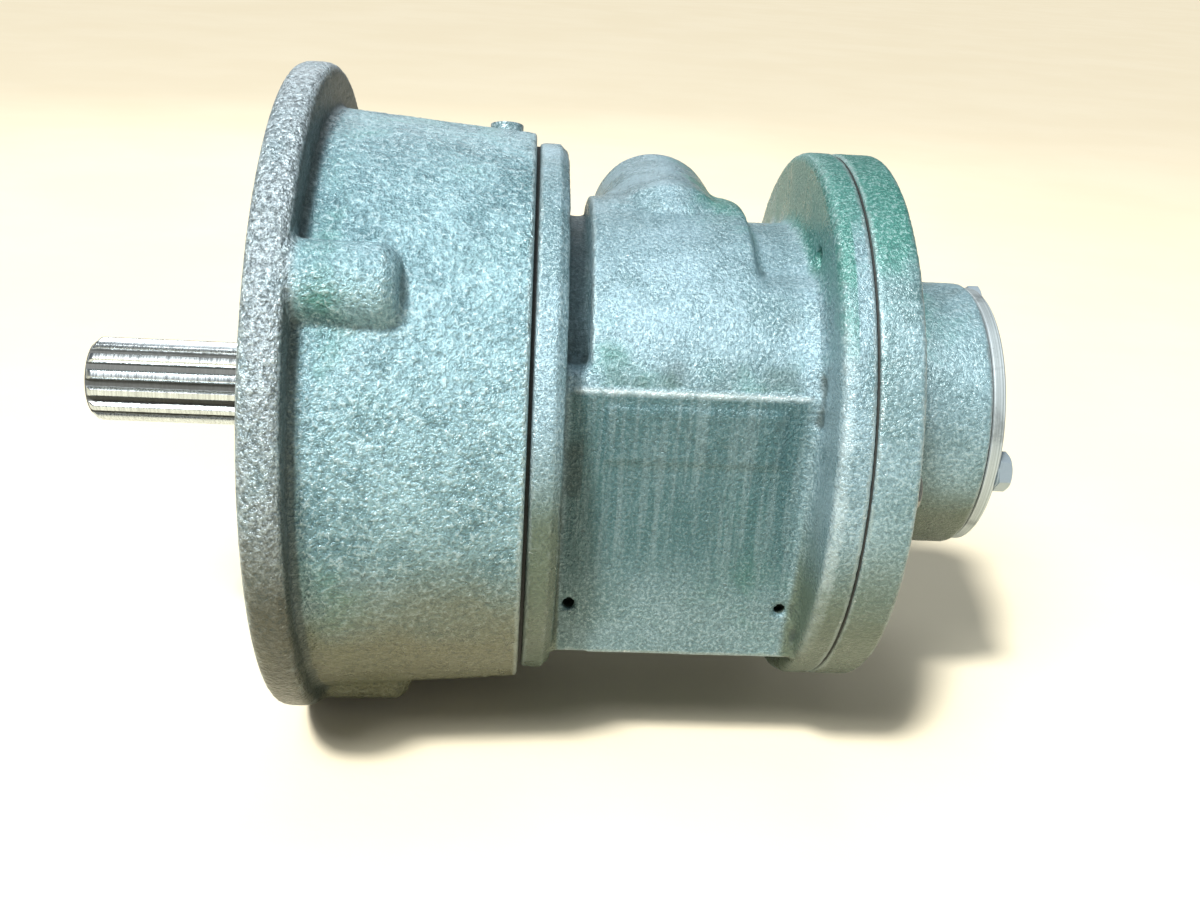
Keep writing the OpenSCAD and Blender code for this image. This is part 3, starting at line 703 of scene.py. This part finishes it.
def machined(name, base, dark, rough, axis=0, centre=(0, 0, 0), marks=2600, depth=0.02, oil=0.35, metal=1.0, cavity=(0.02, 0.018, 0.012)):
    """Turned metal with tool marks, an oily film in patches and dark corners."""
    g = Nodes(name)
    v = g.turned(axis, centre)
    line = g.noise(marks, 3, 0.7, vec=v)
    film = g.noise(55, 6, 0.65, distort=0.5)
    fleck = g.noise(700, 3, 0.6)
    col = g.mix(g.ramp(line, 0.35, 0.65), dark, base)
    col = g.mix(g.math("MULTIPLY", g.ramp(film, 0.5, 0.72), oil), col, tuple(c * 0.35 for c in dark))
    col = g.mix(g.ramp(fleck, 0.66, 0.74, 0, 0.5), col, tuple(c * 0.2 for c in dark))
    cav = g.ramp(g.math("ADD", g.attr("cav"), g.math("MULTIPLY", g.math("SUBTRACT", fleck, 0.5), 0.8)), 0.15, 0.7)
    col = g.mix(g.math("MULTIPLY", cav, 0.9), col, cavity)
    rg = g.ramp(g.math("ADD", g.math("MULTIPLY", line, 0.5), g.math("MULTIPLY", film, 0.5)), 0.3, 0.7, rough * 0.8, rough * 1.45)
    rg = g.mixf(cav, rg, 0.7)
    h = g.math("ADD", line, g.math("MULTIPLY", fleck, 0.4))
    return g.done(color=col, rough=rg, metal=g.mixf(cav, metal, metal * 0.2), normal=g.bump(h, 0.6, depth / 1000))


def soft(name, base, other, rough, scale, depth, fibre=None):
    g = Nodes(name)
    v = g.stretch(*fibre) if fibre else None
    a = g.noise(scale, 5, 0.65, vec=v)
    b = g.noise(scale * 5, 3, 0.6)
    film = g.noise(60, 5, 0.6)
    col = g.mix(g.ramp(a, 0.35, 0.65), base, other)
    col = g.mix(g.ramp(film, 0.5, 0.75, 0, 0.5), col, tuple(c * 1.9 + 0.004 for c in base))
    return g.done(color=col, rough=g.ramp(b, 0.3, 0.7, rough * 0.85, min(1.0, rough * 1.15)), normal=g.bump(g.math("ADD", a, g.math("MULTIPLY", b, 0.5)), 0.7, depth / 1000))


PALE = (0.235, 0.385, 0.435)
DEEP = (0.072, 0.160, 0.185)
m_bell = paint("cast_paint_coarse", 560, 1.35, 0.42, PALE, DEEP, glint=0.30)
m_case = paint("cast_paint_fine", 900, 0.6, 0.46, (0.215, 0.33, 0.385), (0.085, 0.165, 0.185), glint=0.28, bottom_shade_tone=(0.072, 0.100, 0.062))
m_cover = paint("cast_paint_worn", 820, 0.5, 0.42, (0.195, 0.305, 0.345), (0.072, 0.145, 0.150), glint=0.26, bottom_shade_tone=(0.074, 0.100, 0.062))
m_cap = machined("cap_metal", (0.47, 0.53, 0.55), (0.25, 0.29, 0.30), 0.40, marks=1800, depth=0.02, oil=0.65, metal=0.6)
m_steel = machined("turned_steel", (0.62, 0.625, 0.62), (0.40, 0.40, 0.39), 0.27)
m_spline = machined("spline_steel", (0.64, 0.70, 0.72), (0.42, 0.46, 0.475), 0.24, marks=1500)
m_worm = machined("worm_steel", (0.58, 0.585, 0.58), (0.38, 0.38, 0.37), 0.26, axis=1, centre=(0.135, 0, 0.060))
m_zinc = machined("zinc_plate", (0.40, 0.48, 0.53), (0.24, 0.30, 0.34), 0.30, marks=5000, depth=0.008, oil=0.25, metal=0.55)
m_dull = machined("dull_steel", (0.36, 0.37, 0.36), (0.20, 0.21, 0.20), 0.40, marks=4000, depth=0.015, oil=0.5)
m_plug = paint("painted_plug", 900, 0.25, 0.4, (0.22, 0.33, 0.37), (0.10, 0.17, 0.185), fine=0.5)
m_ring = machined("ground_steel", (0.66, 0.66, 0.66), (0.52, 0.52, 0.52), 0.16, marks=5200, depth=0.004, oil=0.15)
m_ball = machined("polished_steel", (0.74, 0.74, 0.74), (0.66, 0.66, 0.66), 0.08, marks=300, depth=0.001, oil=0.1)
m_iron = machined("machined_iron", (0.30, 0.30, 0.29), (0.17, 0.17, 0.165), 0.42, marks=2200, depth=0.03, metal=0.9)
m_bronze = machined("bronze", (0.62, 0.43, 0.18), (0.44, 0.28, 0.10), 0.30, marks=2400, depth=0.02, oil=0.3, cavity=(0.06, 0.03, 0.01))
m_gasket = soft("gasket_paper", (0.008, 0.010, 0.009), (0.018, 0.021, 0.019), 0.78, 900, 0.05)
m_rubber = soft("seal_rubber", (0.014, 0.014, 0.014), (0.03, 0.03, 0.029), 0.48, 1400, 0.02)

for o, m in ((bell, m_bell), (case, m_case), (cover, m_cover), (shaft, m_spline), (cap_bolts, m_zinc), (cover_bolts, m_dull)):
    o.data.materials.clear()
    o.data.materials.append(m)

by_node = {
    "bearing_cap": m_cap, "bell_gasket": m_gasket, "cover_gasket": m_gasket, "cap_gasket": m_gasket, "case_screws": m_dull, "dowel_pins": m_steel,
    "fill_plug": m_plug, "drain_plug": m_dull, "level_plug": m_dull, "wheel_centre": m_iron, "wheel_rim": m_bronze, "wheel_rim_bolts": m_steel,
    "wheel_key": m_steel, "rear_spacer": m_steel, "rear_circlip": m_dull, "front_bearing_outer": m_ring, "front_bearing_inner": m_ring,
    "front_bearing_cage": m_bronze, "front_bearing_balls": m_ball, "front_bearing_circlip": m_dull, "front_oil_seal": m_rubber,
    "rear_bearing_outer": m_ring, "rear_bearing_inner": m_ring, "rear_bearing_cage": m_bronze, "rear_bearing_balls": m_ball, "worm": m_worm,
    "worm_shaft": m_worm, "worm_bush": m_bronze, "worm_thrust_washer": m_bronze, "worm_bearing_outer": m_ring, "worm_bearing_inner": m_ring,
    "worm_bearing_cage": m_bronze, "worm_bearing_balls": m_ball, "worm_bore_circlip": m_dull, "worm_shaft_circlip": m_dull,
    "input_seal": m_rubber, "input_key": m_steel,
}
bevels = {"bearing_cap": 0.35, "fill_plug": 0.45, "drain_plug": 0.5, "level_plug": 0.5, "worm_shaft": 0.25, "input_key": 0.4, "case_screws": 0.2,
          "wheel_centre": 0.4, "rear_spacer": 0.2, "wheel_key": 0.3, "wheel_rim_bolts": 0.3, "input_seal": 0.2, "front_oil_seal": 0.2,
          "front_bearing_outer": 0.35, "front_bearing_inner": 0.35, "rear_bearing_outer": 0.35, "rear_bearing_inner": 0.35,
          "worm_bearing_outer": 0.3, "worm_bearing_inner": 0.3, "worm_bore_circlip": 0.15, "worm_shaft_circlip": 0.12, "rear_circlip": 0.15,
          "front_bearing_circlip": 0.15}
for name, m in by_node.items():
    o = NODES[name]
    if len(o.data.materials):
        for i in range(len(o.data.materials)):
            o.data.materials[i] = m
    else:
        o.data.materials.append(m)
    if name in bevels:
        w = o.modifiers.new("weld", "WELD")
        w.merge_threshold = 2e-6
        b = o.modifiers.new("edges", "BEVEL")
        b.width = bevels[name] / 1000
        b.segments = 2
        b.limit_method = "ANGLE"
        b.angle_limit = math.radians(38)
        b.use_clamp_overlap = True
        b.harden_normals = False
        o.modifiers.new("normals", "WEIGHTED_NORMAL").keep_sharp = True

# ------------------------------------------------------------------ camera at the photo's viewing angle
th, ps, phi = math.radians(2.2), math.radians(3.7), math.radians(22.4)
D = np.array([math.cos(th) * math.cos(ps), math.sin(th) * math.cos(ps), math.sin(ps)])
V = np.array([0, 1.0, 0]) - D * D[1]
V /= np.linalg.norm(V)
U = np.cross(D, V)
R = np.stack([D, U * math.cos(phi) - V * math.sin(phi), -V * math.cos(phi) - U * math.sin(phi)])
right, up, back = R[:, 0], -R[:, 1], -R[:, 2]
cam = bpy.data.objects.new("camera", bpy.data.cameras.new("camera"))
scene.collection.objects.link(cam)
cam.matrix_world = Matrix([[right[i], up[i], back[i], (0.0833, -0.4602, 0.1667)[i]] for i in range(3)] + [[0, 0, 0, 1]])
cam.data.lens = 37.65
cam.data.sensor_width = 36
cam.data.clip_start, cam.data.clip_end = 0.01, 200
scene.camera = cam

# ------------------------------------------------------------------ floor and light
s = 30.0
fm = bpy.data.meshes.new("floor")
fm.from_pydata([(-s, -s, -0.1205), (s, -s, -0.1205), (s, s, -0.1205), (-s, s, -0.1205)], [], [(0, 1, 2, 3)])
floor = new_object("floor", fm)
g = Nodes("pale_board")
a = g.noise(3.2, 6, 0.6)
b = g.noise(1.0, 4, 0.6, vec=g.stretch(4, 55, 1))
col = g.mix(g.ramp(g.math("ADD", g.math("MULTIPLY", a, 0.9), g.math("MULTIPLY", b, 0.1)), 0.35, 0.68), (0.70, 0.625, 0.465), (0.72, 0.65, 0.495))
floor.data.materials.append(g.done(color=col, rough=0.85, normal=g.bump(g.noise(260, 4), 0.2, 0.0004)))


def area(name, where, aim, size, watts, colour=(1, 1, 1), size_y=None):
    d = bpy.data.lights.new(name, "AREA")
    d.energy = watts
    d.color = colour
    d.size = size
    if size_y:
        d.shape = "RECTANGLE"
        d.size_y = size_y
    o = bpy.data.objects.new(name, d)
    scene.collection.objects.link(o)
    o.location = where
    o.rotation_mode = "QUATERNION"
    o.rotation_quaternion = (Vector(where) - Vector(aim)).to_track_quat("Z", "Y")
    return o


mid = (0.10, 0, 0)
sun = bpy.data.lights.new("key", "SUN")
sun.energy = 4.4
sun.angle = math.radians(7)
sun.color = (1.0, 0.985, 0.95)
key = bpy.data.objects.new("key", sun)
scene.collection.objects.link(key)
key.rotation_mode = "QUATERNION"
key.rotation_quaternion = Vector((-0.42, -0.66, 1.15)).to_track_quat("Z", "Y")
area("gloss", (-0.35, -0.80, 1.10), mid, 0.45, 17, (0.95, 0.985, 1.0))
area("top", (0.25, 0.1, 1.3), mid, 0.5, 3.5, (0.88, 0.96, 1.0))
area("side", (1.2, -0.6, 0.5), mid, 0.7, 2.5, (0.9, 0.97, 1.0))
area("back", (-0.1, 1.3, 0.8), mid, 0.9, 5, (0.95, 0.98, 1.0))
world = bpy.data.worlds.new("studio")
scene.world = world
world.use_nodes = True
world.node_tree.nodes["Background"].inputs[0].default_value = (0.90, 0.95, 1.0, 1)
world.node_tree.nodes["Background"].inputs[1].default_value = 0.20
scene.view_settings.view_transform = "Standard"
scene.view_settings.look = "None"
scene.view_settings.exposure = 0.0

print("faces", {o.name: len(o.data.polygons) for o in (bell, case, cover, shaft, cap_bolts, cover_bolts)})
